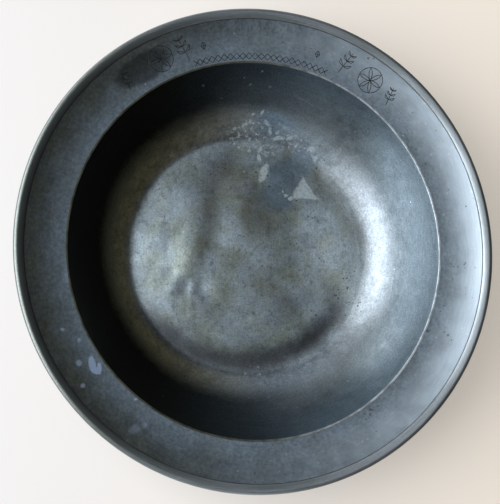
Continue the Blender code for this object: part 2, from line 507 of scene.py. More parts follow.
def sprig_lines(centre, height, lean):
    """A leaning stem with paired leaves."""
    tilt = math.radians(lean)
    root = (0.0, 0.0)
    lines = [flat_to_brim(centre, [root, reached(root, height, tilt)])]
    for leaf in range(SPRIG_LEAVES):
        foot = reached(root, height * (LEAF_FIRST + LEAF_SPACING * leaf), tilt)
        reach = height * (LEAF_LENGTH - LEAF_SHORTENING * leaf)
        for side in (-1.0, 1.0):
            end = reached(foot, reach, tilt + side * math.radians(LEAF_ANGLE))
            bend = reached(foot, LEAF_BULGE * reach, tilt + side * math.radians(LEAF_BULGE_ANGLE))
            lines.append(flat_to_brim(centre, [foot, bend, end]))
            lines.append(flat_to_brim(centre, [foot, end]))
    return lines


def lozenge_lines(centre, radius):
    """A lozenge with a cross in it."""
    top, bottom = (0.0, radius), (0.0, -radius)
    left, right = (-radius * LOZENGE_WIDTH, 0.0), (radius * LOZENGE_WIDTH, 0.0)
    drawings = [[top, right, bottom, left, top], [top, bottom], [left, right]]
    return [flat_to_brim(centre, drawing) for drawing in drawings]


def make_engraving(material):
    """All cut lines as one piece."""
    lines = border_lines()
    for turn, r, radius in ROSETTE_PLACES:
        lines += rosette_lines((turn, r), radius)
    for turn, r, height, lean in SPRIG_PLACES:
        lines += sprig_lines((turn, r), height, lean)
    for turn, r, radius in LOZENGE_PLACES:
        lines += lozenge_lines((turn, r), radius)
    points, faces = [], []
    for line in lines:
        stroke(line, points, faces)
    engraving = build_piece("brim_engraving", points, faces, material)


# A noise: the size of its features in millimetres, its detail, seed, roughness and squeeze
Grain = namedtuple("Grain", "size detail seed roughness squeeze", defaults=(0.0, 0.55, None))

# A smooth step: the levels where it starts and ends, and its values there
Ramp = namedtuple("Ramp", "low high bottom top", defaults=(0.0, 1.0))

# Oval marks of one softness and strength: x, y, length, width in millimetres and turn in degrees
Marks = namedtuple("Marks", "softness strength ovals")

# What the materials share
FLAT = (1.0, 1.0, 0.0)
TOP_SIDE = Ramp(-0.05, 0.05)
TURNING_STRETCH = 14.0
OVAL_DEPTH = 1000.0
WANDER_DETAIL = 4.0
MIX_INPUTS = (0, 6, 7)
MIX_RESULT = 2


class Material:
    """Adds shader nodes by short calls; a value is a number, a tuple or a socket."""

    def __init__(self, name):
        self.material = bpy.data.materials.new(name)
        self.material.use_nodes = True
        self.tree = self.material.node_tree
        self.shader = self.tree.nodes["Principled BSDF"]

    def put(self, socket, value):
        """Links a socket, or sets a constant."""
        if isinstance(value, bpy.types.NodeSocket):
            self.tree.links.new(value, socket)
        elif socket.type == "RGBA":
            socket.default_value = (*value, 1.0)
        else:
            socket.default_value = value

    def fill(self, node, values):
        """Puts (input, value) pairs into a node, by name or by place."""
        for key, value in values:
            self.put(node.inputs[key], value)
        return node

    def add(self, kind, **values):
        """A new node of a kind, with values for its inputs."""
        return self.fill(self.tree.nodes.new("ShaderNode" + kind), values.items())

    def math(self, operation, *values):
        """The result of a sum on numbers."""
        node = self.add("Math")
        node.operation = operation
        return self.fill(node, enumerate(values)).outputs["Value"]

    def times(self, *values):
        """The product of some values."""
        return reduce(lambda total, value: self.math("MULTIPLY", total, value), values)

    def plus(self, first, second, factor):
        """A value with a share of another added to it."""
        return self.math("MULTIPLY_ADD", second, factor, first)

    def most(self, *values):
        """The largest of some values."""
        return reduce(lambda total, value: self.math("MAXIMUM", total, value), values)

    def vector(self, operation, *values, output="Vector"):
        """The result of a sum on vectors."""
        node = self.add("VectorMath")
        node.operation = operation
        keys = (0, "Scale") if operation == "SCALE" else (0, 1)
        return self.fill(node, zip(keys, values)).outputs[output]

    def length(self, vector):
        """A vector's length."""
        return self.vector("LENGTH", vector, output="Value")

    def dot(self, first, second):
        """The dot product of two vectors."""
        return self.vector("DOT_PRODUCT", first, second, output="Value")

    def part(self, vector, axis):
        """A vector's X, Y or Z."""
        return self.add("SeparateXYZ", Vector=vector).outputs[axis]

    def place(self):
        """The point on the piece, in millimetres."""
        return self.vector("SCALE", self.add("TexCoord").outputs["Object"], MM)

    def top_side(self):
        """How much the surface faces up, from 0 to 1."""
        return self.step(self.part(self.add("TexCoord").outputs["Normal"], "Z"), TOP_SIDE)

    def polar(self, vector):
        """The radius, and a point stretched along the turning direction."""
        flat = self.vector("MULTIPLY", vector, FLAT)
        radius = self.length(flat)
        facing = self.vector("SCALE", self.vector("NORMALIZE", flat), TURNING_STRETCH)
        return radius, self.vector("ADD", facing, self.add("CombineXYZ", Z=radius).outputs["Vector"])

    def noise(self, vector, grain, output="Fac"):
        """Noise of a grain at a point."""
        if grain.squeeze is not None:
            vector = self.vector("MULTIPLY", vector, grain.squeeze)
        node = self.add("TexNoise")
        node.noise_dimensions = "4D"
        names = ("Vector", "W", "Scale", "Detail", "Roughness")
        values = (vector, grain.seed, 1.0 / grain.size, grain.detail, grain.roughness)
        return self.fill(node, zip(names, values)).outputs[output]

    def wander(self, vector, *shifts):
        """A point moved by noises of some (size, amount), for ragged outlines."""
        for size, amount in shifts:
            shift = self.noise(vector, Grain(size, WANDER_DETAIL), output="Color")
            centred = self.vector("SUBTRACT", shift, (0.5, 0.5, 0.5))
            vector = self.vector("ADD", vector, self.vector("SCALE", centred, amount))
        return vector

    def specks(self, vector, shift, spacing, reach):
        """Scattered ragged specks: each takes its own share of the reach, in cells."""
        node = self.add("TexVoronoi", Vector=self.wander(vector, shift), Scale=1.0 / spacing)
        return self.math("LESS_THAN", node.outputs["Distance"], self.times(node.outputs["Color"], reach))

    def step(self, value, ramp):
        """A value taken through a ramp."""
        node = self.add("MapRange")
        node.interpolation_type = "SMOOTHSTEP"
        return self.fill(node, enumerate((value, *ramp))).outputs["Result"]

    def marks(self, vector, marks):
        """How much a point lies within any of some oval marks."""
        ramp = Ramp(1.0 + marks.softness, 1.0 - marks.softness, top=marks.strength)
        covers = []
        for x, y, length, width, turn in marks.ovals:
            spin = (0.0, 0.0, math.radians(turn))
            size = (length / 2.0, width / 2.0, OVAL_DEPTH)
            node = self.add("Mapping", Vector=vector, Location=(x, y, 0.0), Rotation=spin, Scale=size)
            node.vector_type = "TEXTURE"
            covers.append(self.step(self.length(node.outputs["Vector"]), ramp))
        return self.most(*covers)

    def triangle(self, vector, corners, softness):
        """How much a point lies within a triangle whose corners go round to the left."""
        total = 1.0
        for start, end in zip(corners, corners[1:] + corners[:1]):
            inward = Vector((start[1] - end[1], end[0] - start[0], 0.0)).normalized()
            depth = self.dot(self.vector("SUBTRACT", vector, (*start, 0.0)), inward)
            total = self.math("MINIMUM", total, self.step(depth, Ramp(-softness, softness)))
        return total

    def blend(self, factor, first, second, mode="MIX"):
        """A mix of two colours."""
        node = self.add("Mix")
        node.data_type = "RGBA"
        node.blend_type = mode
        return self.fill(node, zip(MIX_INPUTS, (factor, first, second))).outputs[MIX_RESULT]

    def toned(self, colour, *tones):
        """A colour made darker or paler by values taken through ramps."""
        for value, ramp in tones:
            colour = self.blend(1.0, colour, self.step(value, ramp), mode="MULTIPLY")
        return colour

    def layered(self, colour, layers):
        """A colour under layers of others, each with how much it covers."""
        for cover, layer in layers:
            colour = self.blend(cover, colour, layer)
        return colour

    def metal(self, colour, roughness, share, height, bump):
        """The material as dull metal, by the bare metal's share."""
        strength, distance = bump
        node = self.add("Bump", Height=height, Strength=strength, Distance=distance / MM)
        names = ("Base Color", "Metallic", "Roughness", "Normal")
        self.fill(self.shader, zip(names, (colour, share, roughness, node.outputs["Normal"])))
        return self.material


# Colours of the metal, of what lies on it, and of painted shade, sheen and highlights
FLOOR_METAL = (0.338, 0.422, 0.486)
FLOOR_OLIVE = (0.326, 0.39, 0.372)
FLOOR_PALE = (0.56, 0.61, 0.65)
FLOOR_PURPLE = (0.104, 0.116, 0.136)
BOUGE_BLUE = (0.265, 0.335, 0.41)
BOUGE_PALE = (0.236, 0.273, 0.311)
BOUGE_OLIVE = (0.43, 0.385, 0.205)
WALL_METAL = (0.07, 0.09, 0.106)
# Painted shade: the wall's left side, darkened almost to black
WALL_PAINTED_SHADE = (0.018, 0.017, 0.011)
# A painted sheen: a pale bluish glow on the upper wall towards the right
WALL_PAINTED_SHEEN = (0.083, 0.117, 0.147)
OUTSIDE_METAL = (0.19, 0.225, 0.255)
OUTSIDE_DARK = (0.11, 0.125, 0.13)
# The lip: worn bright with a painted highlight on the right, and painted shade on the left
LIP_WORN_AND_HIGHLIGHT = (0.6, 0.68, 0.76)
LIP_PAINTED_SHADE = (0.15, 0.16, 0.125)
BRIM_METAL = (0.278, 0.362, 0.452)
BRIM_DARK = (0.25, 0.318, 0.374)
# Painted shade, olive: the outer brim darkened on the left
BRIM_OLIVE_PAINTED_SHADE = (0.2, 0.225, 0.19)
# Partly wear, partly a painted sheen: the pale outer margin of the brim, none on the left
BRIM_WORN_AND_SHEEN = (0.49, 0.598, 0.7)
REED_METAL = (0.34, 0.39, 0.435)
REED_DARK = (0.23, 0.27, 0.29)
# Painted shade: the reed darkened on the left
REED_PAINTED_SHADE = (0.15, 0.172, 0.168)
PIT_DARK = (0.02, 0.022, 0.02)
# Dirt in the reed's seam, and painted shade on its outer edge on the right
GRIME_AND_PAINTED_SHADE = (0.035, 0.034, 0.034)
STAIN_BLUE = (0.155, 0.245, 0.345)
# Brown stains, and painted shade where the same colour darkens creases
BROWN_STAIN_AND_SHADE = (0.14, 0.142, 0.124)
# Pale spots and chips on the metal, and painted highlights in soft hazes of the same colour
PALE_DEPOSIT_AND_HIGHLIGHT = (0.32, 0.39, 0.42)
FLECK_PALE = (0.7, 0.76, 0.82)
SPLASH_PALE = (0.205, 0.275, 0.4)
CUT_DARK = (0.022, 0.024, 0.026)
CUT_DUSTY = (0.075, 0.085, 0.09)

# Marks in the bowl
PALE_TRIANGLE = [(41.5, 57.5), (33.6, 42), (51.8, 41.5)]
TRIANGLE_SOFTNESS = 1.0
PALE_PATCHES = Marks(0.3, 1, [
    (12.8, 59.6, 15, 5.4, 72),
    (37.8, 46.2, 9, 7, 60),
    (31.6, 41.6, 4, 2.6, 20),
    (28.4, 44, 2.6, 2, 0),
    (26.6, 46.5, 2, 1.6, 0),
])
PALE_CHIPS = Marks(0.5, 0.85, [
    (-8.7, 89.5, 2.8, 2.2, 40),
    (-1.9, 92.3, 4.2, 2, 30),
    (1.6, 94.8, 2.8, 1.8, 50),
    (9.3, 100.5, 3.8, 1.6, 85),
    (3, 99.7, 2.6, 1.6, 20),
    (13.4, 94.2, 4.8, 2.2, 130),
    (16.4, 89.4, 6.4, 2.2, 108),
    (23, 84.4, 8.6, 2.8, 8),
    (31, 85, 5.4, 2.8, 20),
    (10.5, 76.7, 3.6, 2.8, 80),
    (9.6, 70.6, 5.4, 2.6, 88),
    (2.5, 75, 2.4, 2, 0),
    (-5.4, 77.6, 2.2, 1.8, 0),
    (-8.4, 79.9, 2.4, 1.8, 0),
    (46.8, 77.2, 6, 5, 30),
    (50.4, 70.8, 6, 3.4, 60),
])
BLUE_STAINS = Marks(0.35, 0.6, [
    (26, 54, 34, 22, 75),
    (22, 42, 24, 20, 0),
    (40, 68, 24, 18, 20),
    (21, 93.5, 30, 14, -12),
])
BROWN_STAINS = Marks(0.7, 0.45, [
    (30.1, 76, 12, 8, 80),
    (51.3, 61.5, 11, 7, 100),
    (6.3, 49, 6, 4, 70),
    (-4, 42, 6, 4, 20),
    (4, 34, 30, 16, 70),
])
DROPLET_FIELDS = Marks(0.6, 0.8, [
    (8, 89, 50, 20, 8),
    (12, 76, 16, 18, 80),
    (38, 80, 34, 14, -38),
])
DARK_CLOUDS = Marks(0.8, 0.35, [
    (-10, 44, 44, 30, 70),
    (14, 24, 40, 20, 30),
    (18, -22, 36, 14, 140),
    (64, -30, 40, 12, 112),
    (-14, 95, 28, 12, 10),
])
# Painted highlights: soft pale hazes on the floor's left edge and on the wall, mostly towards the right
PAINTED_HIGHLIGHT_HAZES = Marks(0.9, 0.4, [
    (55, 85, 56, 32, -33),
    (32, 88, 22, 10, -18),
    (56, -82, 84, 24, 34),
    (-66, -22, 46, 18, 100),
    (75, -6, 104, 26, 94),
    (60, -2, 56, 22, 92),
])
# Painted shade along the crease between the dents, and along the floor's edge at the upper right
CREASE_SHADES = Marks(0.8, 0.4, [
    (-20, 57, 36, 13, 62),
    (-26, 33, 46, 12, 86),
    (-32, 8, 32, 10, 68),
    (70, 32, 50, 13, 115),
    (56, 57, 44, 15, 135),
])
PIT_FIELDS = Marks(0.6, 1, [(70, -18, 34, 16, 80)])
# Painted highlights, partly wear: paler patches on the floor's left and right sides
FLOOR_WEAR_AND_HIGHLIGHTS = Marks(0.6, 1, [
    (54, 2, 84, 40, 92),
    (-67, -20, 60, 30, 92),
    (-70, -20, 44, 16, 104),
    (-47, 2, 36, 18, 66),
])
BOUGE_SCRATCHES = Marks(0.5, 0.35, [
    (43.5, 105, 34, 0.5, -26),
    (13, -24.5, 21, 0.5, 90),
    (-36, 114, 2, 1.4, 0),
    (-2, 117, 2.4, 1.4, 10),
    (12, 116, 2, 1.2, 0),
])

# The dark arc along the lower edge of the floor
PURPLE_ARC_CENTRE = (-3, 2, 0)
PURPLE_ARC_RADIUS = 77.0
PURPLE_ARC_BAND = Ramp(13.5, 1, top=0.85)
PURPLE_ARC_LOWER = Ramp(-22, -52)

# Marks on the brim
SPLASHES = Marks(0.35, 1, [
    (-111.6, -79.5, 10.5, 4.6, 102),
    (-109.6, -83.4, 8, 4.6, 152),
    (-106.8, -81.6, 6.4, 2.8, 96),
    (-82.6, -102.4, 2, 1.4, 20),
])
SPLASH_SPOTS = Marks(0.5, 0.6, [
    (-120.6, -78.8, 4.6, 4, 100),
    (-118, -93.6, 3.6, 3, 40),
    (-120.4, -63.8, 3, 2.4, 60),
    (-131.5, -57, 2.8, 2.2, 0),
])
BLUE_SMUDGES = Marks(0.6, 0.35, [
    (-84, -122, 9, 6, 30),
    (-76, -118.6, 5, 3.6, 0),
    (-128, -20, 14, 8, 80),
])
BRIM_STAINS = Marks(0.2, 0.62, [(-80, 120.5, 42, 19, 34)])
COMB_FIELDS = Marks(0.5, 0.3, [(-5, 153, 104, 12, 2)])

# Noises, and the (size, amount) shifts that make outlines ragged
FINE_GRAIN = Grain(1.2, 3, roughness=0.7)
BOWL_GRAIN = Grain(1.1, 3, roughness=0.7)
BOWL_RING = Grain(1.3, 3, roughness=0.7)
BOWL_CLOUD = Grain(24, 6)
BOWL_HUE = Grain(15, 6, 4)
BOWL_MOTTLE = Grain(3.4, 6, 9, 0.66)
BOWL_PATCHES = Grain(7, 5, 5)
BRUSHING = Grain(0.9, 3, 7, squeeze=(1, 0.05, 1))
RUBBING = Grain(0.8, 2, 1, squeeze=(0.06, 1, 1))
SPATTER_GRAIN = Grain(2.6, 4, 2, 0.6)
PIT_GRAIN = Grain(13, 2, 6)
LIP_GRAIN = Grain(5, 5, 8)
OUTSIDE_CLOUD = Grain(22, 6, 11)
OUTSIDE_RING = Grain(1.6, 3, 12, 0.7)
FLECK_GRAIN = Grain(19, 3, 13)
BRIM_CLOUD = Grain(26, 6)
BRIM_HUE = Grain(11, 6, 4)
BRIM_MOTTLE = Grain(2.2, 5, 9, 0.66)
BRIM_RING = Grain(0.9, 3, roughness=0.7)
BRIM_PATCHES = Grain(9, 5, 5)
COMB_GRAIN = Grain(1.6, 3, 3, squeeze=(1, 0.22, 1))
SPECK_GRAIN = Grain(17, 2, 6)
REED_CLOUD = Grain(5, 5)
CUT_DUST = Grain(3, 5)
BOWL_RAGGED = [(9, 7), (1.8, 1.6)]
BOWL_CRISP = [(5, 4), (1.6, 1.4)]
BRIM_RAGGED = [(8, 6), (1.5, 1.2)]
BRIM_CRISP = (2, 1.3)
WEAR_AND_HIGHLIGHT_SHIFT = (14, 10)
PIT_FIELD_SHIFT = (6, 8)
SPECK_SHIFT = (0.8, 1.5)
FLECK_SHIFT = (1, 1.2)

# Bowl: where its tones change, by noise level, radius or place from left to right
BOWL_LEFT = Ramp(30, -80)
FLOOR_GREEN = Ramp(0.62, 0.36)
FLOOR_GREEN_REACH = Ramp(86, 70)
FLOOR_PALE_SPOTS = Ramp(0.56, 0.78, top=0.7)
FLOOR_DARK_SPOTS = Ramp(0.24, 0.52, 0.5, 1.08)
FLOOR_CLOUDS = Ramp(0.3, 0.62, 0.78, 1.12)
FLOOR_BRUSHED = Ramp(0.3, 0.7, 0.94, 1.05)
FLOOR_RUBBED = Ramp(0.62, 0.74, 1, 1.16)
FLOOR_WEAR_AND_HIGHLIGHT_LIFT = Ramp(0, 1, 1, 1.6)
BOUGE_START = Ramp(83, 91, top=0.88)
BOUGE_RIGHT = Ramp(35, 75)
BOUGE_SPOTS = Ramp(0.26, 0.7, 0.68, 1.28)
WALL_START = Ramp(95, 112)
WALL_START_SHIFT = Ramp(-80, 10, top=4)
WALL_SHIFT_TOWARDS = (0.4, 1, 0)
WALL_BRUSHED = Ramp(0.3, 0.7, 0.92, 1.08)
# Painted shade: the wall darkened towards its far right
WALL_RIGHT_PAINTED_SHADE = Ramp(85, 112, 1, 0.82)
# Where the painted sheen lies on the upper wall, towards the right
SHEEN_OUTWARD = Ramp(103, 126)
SHEEN_RIGHT = Ramp(-15, 50)
SPATTER = Ramp(0.54, 0.62)
BOWL_FLECKS_RIGHT = Ramp(-70, 30, 0.3)
FLECK_SCATTER = Ramp(0.4, 0.66, top=0.26)
PIT_SCATTER = Ramp(0.48, 0.72)
PIT_REACH = Ramp(100, 86, top=0.42)
OUTSIDE_CLOUDS = Ramp(0.34, 0.66)
OUTSIDE_TURNED = Ramp(0.3, 0.7, 0.86, 1.1)
BOWL_TURNED = Ramp(0.35, 0.7, 0.9, 1.06)
BOWL_GRAINY = Ramp(0.25, 0.75, 0.72, 1.26)
LIP_START = Ramp(128.5, 128.8)
LIP_HIGHLIGHT_RIGHT = Ramp(-30, 110)
LIP_PATCHES = Ramp(0.35, 0.6, 0.55, 1)
BOWL_ROUGHNESS = Ramp(0.3, 0.7, 0.29, 0.4)
BOWL_BARE = Ramp(84, 100, 0.9, 0.95)
HIDDEN_METAL = Ramp(0, 1, 1, 0.4)

# Bowl: how strongly its noises and marks act; a bump is a strength and a depth in millimetres
BOUGE_START_RAGGED = 6.0
WALL_CLOUD_RAGGED = 5.0
WALL_MOTTLE_RAGGED = 9.0
PALE_COVER = 0.75
BOWL_FLECK_STRENGTH = 0.5
FLECK_SPACING = 5.5
PIT_SPACING = 2.4
PIT_STRENGTH = 0.65
SHEEN_HIDES = 0.45
GRAIN_HEIGHT = 0.5
BOWL_RING_HEIGHT = 0.25
PIT_HEIGHT = -0.6
BOWL_BUMP = (0.35, 0.25)


def floor_colour(mat, place, radius, cloud, mottle, brushed):
    """The floor's metal: mottled, olive in places, rubbed, and worn paler with painted highlights on its
    left and right sides.
    """
    green = mat.step(mat.noise(place, BOWL_HUE), FLOOR_GREEN)
    green = mat.times(green, mat.step(radius, FLOOR_GREEN_REACH))
    colour = mat.blend(green, FLOOR_METAL, FLOOR_OLIVE)
    colour = mat.blend(mat.step(mottle, FLOOR_PALE_SPOTS), colour, FLOOR_PALE)
    rubbed = mat.noise(place, RUBBING)
    # Paler patches that are partly wear and partly painted highlights
    worn = mat.marks(mat.wander(place, WEAR_AND_HIGHLIGHT_SHIFT), FLOOR_WEAR_AND_HIGHLIGHTS)
    colour = mat.toned(colour, (mottle, FLOOR_DARK_SPOTS), (cloud, FLOOR_CLOUDS))
    return mat.toned(colour, (brushed, FLOOR_BRUSHED), (rubbed, FLOOR_RUBBED), (worn, FLOOR_WEAR_AND_HIGHLIGHT_LIFT))


def bouge_colour(mat, across, left, mottle):
    """The foot of the wall: blue-grey, paler on the right and olive on the left."""
    colour = mat.blend(mat.step(across, BOUGE_RIGHT), BOUGE_BLUE, BOUGE_PALE)
    colour = mat.blend(left, colour, BOUGE_OLIVE)
    return mat.toned(colour, (mottle, BOUGE_SPOTS))


def wall_colour(mat, across, left, painted_sheen, brushed):
    """The upper wall: dark, with painted shade almost black on the left, a painted sheen on the right,
    and painted shade darkening its far right.
    """
    # Painted shade on the left of the wall, and a painted sheen on its right
    colour = mat.blend(left, WALL_METAL, WALL_PAINTED_SHADE)
    colour = mat.blend(painted_sheen, colour, WALL_PAINTED_SHEEN)
    return mat.toned(colour, (brushed, WALL_BRUSHED), (across, WALL_RIGHT_PAINTED_SHADE))


def bowl_colour(mat, place, radius):
    """The bowl's bare metal with its painted shade, and how much painted sheen lies on its wall."""
    across = mat.part(place, "X")
    left = mat.step(across, BOWL_LEFT)
    cloud = mat.noise(place, BOWL_CLOUD)
    mottle = mat.noise(place, BOWL_MOTTLE)
    brushed = mat.noise(place, BRUSHING)
    # A painted sheen on the upper wall towards the right, which also hides some of the metal below
    painted_sheen = mat.times(mat.step(radius, SHEEN_OUTWARD), mat.step(across, SHEEN_RIGHT))
    floor = floor_colour(mat, place, radius, cloud, mottle, brushed)
    foot = mat.step(mat.plus(radius, mottle, BOUGE_START_RAGGED), BOUGE_START)
    inner = mat.blend(foot, floor, bouge_colour(mat, across, left, mottle))
    ragged = mat.plus(mat.plus(radius, cloud, WALL_CLOUD_RAGGED), mottle, WALL_MOTTLE_RAGGED)
    shift = mat.step(mat.dot(place, WALL_SHIFT_TOWARDS), WALL_START_SHIFT)
    start = mat.step(mat.math("SUBTRACT", ragged, shift), WALL_START)
    return mat.blend(start, inner, wall_colour(mat, across, left, painted_sheen, brushed)), painted_sheen


def pale_flecks(mat, place, share):
    """Sparse pale flecks where the metal was knocked bright."""
    scatter = mat.step(mat.noise(place, FLECK_GRAIN), FLECK_SCATTER)
    return mat.specks(place, FLECK_SHIFT, FLECK_SPACING, mat.times(scatter, share))


def purple_arc(mat, place):
    """How much a point lies in the floor's dark arc."""
    flat = mat.vector("MULTIPLY", mat.vector("SUBTRACT", place, PURPLE_ARC_CENTRE), FLAT)
    away = mat.math("ABSOLUTE", mat.math("SUBTRACT", mat.length(flat), PURPLE_ARC_RADIUS))
    lower = mat.step(mat.part(place, "Y"), PURPLE_ARC_LOWER)
    return mat.times(mat.step(away, PURPLE_ARC_BAND), lower)


def bowl_marks_and_painted_light(mat, place, colour):
    """A colour under the bowl's stains, dark arc, painted shade and pale marks with painted highlights,
    and how much of the metal the pale marks hide.
    """
    ragged = mat.wander(place, *BOWL_RAGGED)
    crisp = mat.wander(place, *BOWL_CRISP)
    colour = mat.layered(colour, [
        (mat.marks(ragged, DARK_CLOUDS), BROWN_STAIN_AND_SHADE),
        (purple_arc(mat, ragged), FLOOR_PURPLE),
        # Painted shade along the creases
        (mat.marks(ragged, CREASE_SHADES), BROWN_STAIN_AND_SHADE),
        (mat.marks(ragged, BLUE_STAINS), STAIN_BLUE),
        (mat.marks(ragged, BROWN_STAINS), BROWN_STAIN_AND_SHADE),
    ])
    spatter = mat.step(mat.noise(place, SPATTER_GRAIN), SPATTER)
    flecks = pale_flecks(mat, place, mat.step(mat.part(place, "X"), BOWL_FLECKS_RIGHT))
    pale = mat.most(
        mat.triangle(crisp, PALE_TRIANGLE, TRIANGLE_SOFTNESS),
        mat.marks(crisp, PALE_PATCHES),
        mat.marks(crisp, PALE_CHIPS),
        mat.times(mat.marks(ragged, DROPLET_FIELDS), spatter),
        mat.marks(place, BOUGE_SCRATCHES),
        # Painted highlights in soft pale hazes
        mat.marks(ragged, PAINTED_HIGHLIGHT_HAZES),
        mat.times(flecks, BOWL_FLECK_STRENGTH),
    )
    return mat.blend(mat.times(pale, PALE_COVER), colour, PALE_DEPOSIT_AND_HIGHLIGHT), pale


def outside_colour(mat, place, turned):
    """The bowl's outside: dark pewter with soft clouds and turning lines."""
    cloud = mat.step(mat.noise(place, OUTSIDE_CLOUD), OUTSIDE_CLOUDS)
    colour = mat.blend(cloud, OUTSIDE_DARK, OUTSIDE_METAL)
    return mat.toned(colour, (mat.noise(turned, OUTSIDE_RING), OUTSIDE_TURNED))


def bowl_pits(mat, place, radius):
    """Small pits in the floor, scattered and in clusters."""
    scatter = mat.step(mat.noise(place, PIT_GRAIN), PIT_SCATTER)
    clusters = mat.marks(mat.wander(place, PIT_FIELD_SHIFT), PIT_FIELDS)
    reach = mat.times(mat.most(scatter, clusters), mat.step(radius, PIT_REACH))
    return mat.specks(place, SPECK_SHIFT, PIT_SPACING, reach)


def lip_colour(mat, place):
    """The worn lip: a painted highlight on the right, painted shade on the left, patchy all round."""
    # Painted highlight on the right of the lip, painted shade on its left
    colour = mat.blend(mat.step(mat.part(place, "X"), LIP_HIGHLIGHT_RIGHT), LIP_PAINTED_SHADE, LIP_WORN_AND_HIGHLIGHT)
    return mat.toned(colour, (mat.noise(place, LIP_GRAIN), LIP_PATCHES))


def bowl_material():
    """Worn pewter: a mottled pitted floor, a dark wall with painted shade and sheen, stains, pale marks
    with painted highlights, and a worn lip with a painted highlight and shade.
    """
    mat = Material("bowl_pewter_worn")
    place = mat.place()
    radius, turned = mat.polar(place)
    grain = mat.noise(place, BOWL_GRAIN)
    ring = mat.noise(turned, BOWL_RING)
    pits = bowl_pits(mat, place, radius)
    top = mat.top_side()
    colour, painted_sheen = bowl_colour(mat, place, radius)
    colour, pale_and_painted_highlight = bowl_marks_and_painted_light(mat, place, colour)
    colour = mat.blend(top, outside_colour(mat, place, turned), colour)
    colour = mat.blend(mat.times(pits, PIT_STRENGTH), colour, PIT_DARK)
    colour = mat.toned(colour, (ring, BOWL_TURNED), (grain, BOWL_GRAINY))
    colour = mat.blend(mat.step(radius, LIP_START), colour, lip_colour(mat, place))
    roughness = mat.step(mat.noise(place, BOWL_PATCHES), BOWL_ROUGHNESS)
    # Pale marks with painted highlights, and the painted sheen, hide some of the bare metal
    hidden = mat.most(mat.times(pale_and_painted_highlight, top), mat.times(painted_sheen, SHEEN_HIDES))
    share = mat.times(mat.step(radius, BOWL_BARE), mat.step(hidden, HIDDEN_METAL))
    height = mat.plus(mat.times(grain, GRAIN_HEIGHT), ring, BOWL_RING_HEIGHT)
    return mat.metal(colour, roughness, share, mat.plus(height, pits, PIT_HEIGHT), BOWL_BUMP)


# Brim, reed and cut lines: where their tones change, and how strongly their noises act
BRIM_METAL_SHARE = 0.92
BRIM_LEFT = Ramp(40, -120, top=0.9)
BRIM_CLOUDS = Ramp(0.36, 0.64)
BRIM_SHADE_START = Ramp(148, 174)
BRIM_SHADE_RAGGED = 30.0
BRIM_SPOTS = Ramp(0.25, 0.75, 0.68, 1.28)
BRIM_WEAR_AND_SHEEN_START = Ramp(132, 158)
BRIM_WEAR_AND_SHEEN_RAGGED = 8.0
BRIM_WEAR_AND_SHEEN_RIGHT = Ramp(-70, 150)
BRIM_TURNED = Ramp(0.35, 0.7, 0.93, 1.05)
COMB_TEETH = Ramp(0.48, 0.62)
SPECK_SCATTER = Ramp(0.42, 0.72, top=0.42)
SPECKS_RIGHT = Ramp(-60, 40)
SPECK_SPACING = 3.0
SPECK_STRENGTH = 0.5
BRIM_FLECKS_RIGHT = Ramp(-120, 60, 0.4)
BRIM_FLECK_STRENGTH = 0.55
BRIM_ROUGHNESS = Ramp(0.3, 0.7, 0.3, 0.39)
SPLASHED_METAL = Ramp(0, 1, BRIM_METAL_SHARE, 0.25)
BRIM_RING_HEIGHT = 0.4
BRIM_BUMP = (0.3, 0.2)
REED_CLOUDS = Ramp(0.35, 0.62)
REED_LEFT = Ramp(-30, -125)
REED_EDGE_PAINTED_SHADE = Ramp(163, 164.3, top=0.85)
REED_EDGE_SHADE_RIGHT = Ramp(-20, 70)
REED_SEAM_GRIME = Ramp(158.5, 158.15)
REED_SEAM_RIGHT = Ramp(-150, -40, 0.3, 0.75)
REED_ROUGHNESS = Ramp(0.3, 0.7, 0.36, 0.48)
GRIME_AND_SHADE_METAL = Ramp(0, 1, BRIM_METAL_SHARE, 0.3)
CUT_DUST_COVER = Ramp(0.45, 0.65)
CUT_ROUGHNESS = Ramp(0.3, 0.7, 0.5, 0.65)
CUT_BUMP = (0.2, 0.1)


def brim_colour(mat, place, radius, ring):
    """The brim's bare metal: blue-grey, with olive painted shade outside on the left, and a pale outer
    margin on the right that is partly wear and partly a painted sheen.
    """
    across = mat.part(place, "X")
    cloud = mat.noise(place, BRIM_CLOUD)
    colour = mat.blend(mat.step(cloud, BRIM_CLOUDS), BRIM_DARK, BRIM_METAL)
    outward = mat.plus(radius, mat.noise(place, BRIM_HUE), BRIM_SHADE_RAGGED)
    # Painted shade on the outer brim to the left
    olive = mat.times(mat.step(outward, BRIM_SHADE_START), mat.step(across, BRIM_LEFT))
    colour = mat.blend(olive, colour, BRIM_OLIVE_PAINTED_SHADE)
    colour = mat.toned(colour, (mat.noise(place, BRIM_MOTTLE), BRIM_SPOTS))
    # A pale outer margin, partly wear and partly a painted sheen, fading out to the left
    margin = mat.plus(radius, cloud, BRIM_WEAR_AND_SHEEN_RAGGED)
    worn = mat.times(mat.step(margin, BRIM_WEAR_AND_SHEEN_START), mat.step(across, BRIM_WEAR_AND_SHEEN_RIGHT))
    colour = mat.blend(worn, colour, BRIM_WORN_AND_SHEEN)
    return mat.toned(colour, (ring, BRIM_TURNED))


def brim_specks(mat, place):
    """Dark specks on the brim, none on its left."""
    scatter = mat.step(mat.noise(place, SPECK_GRAIN), SPECK_SCATTER)
    reach = mat.times(scatter, mat.step(mat.part(place, "X"), SPECKS_RIGHT))
    return mat.specks(place, SPECK_SHIFT, SPECK_SPACING, reach)


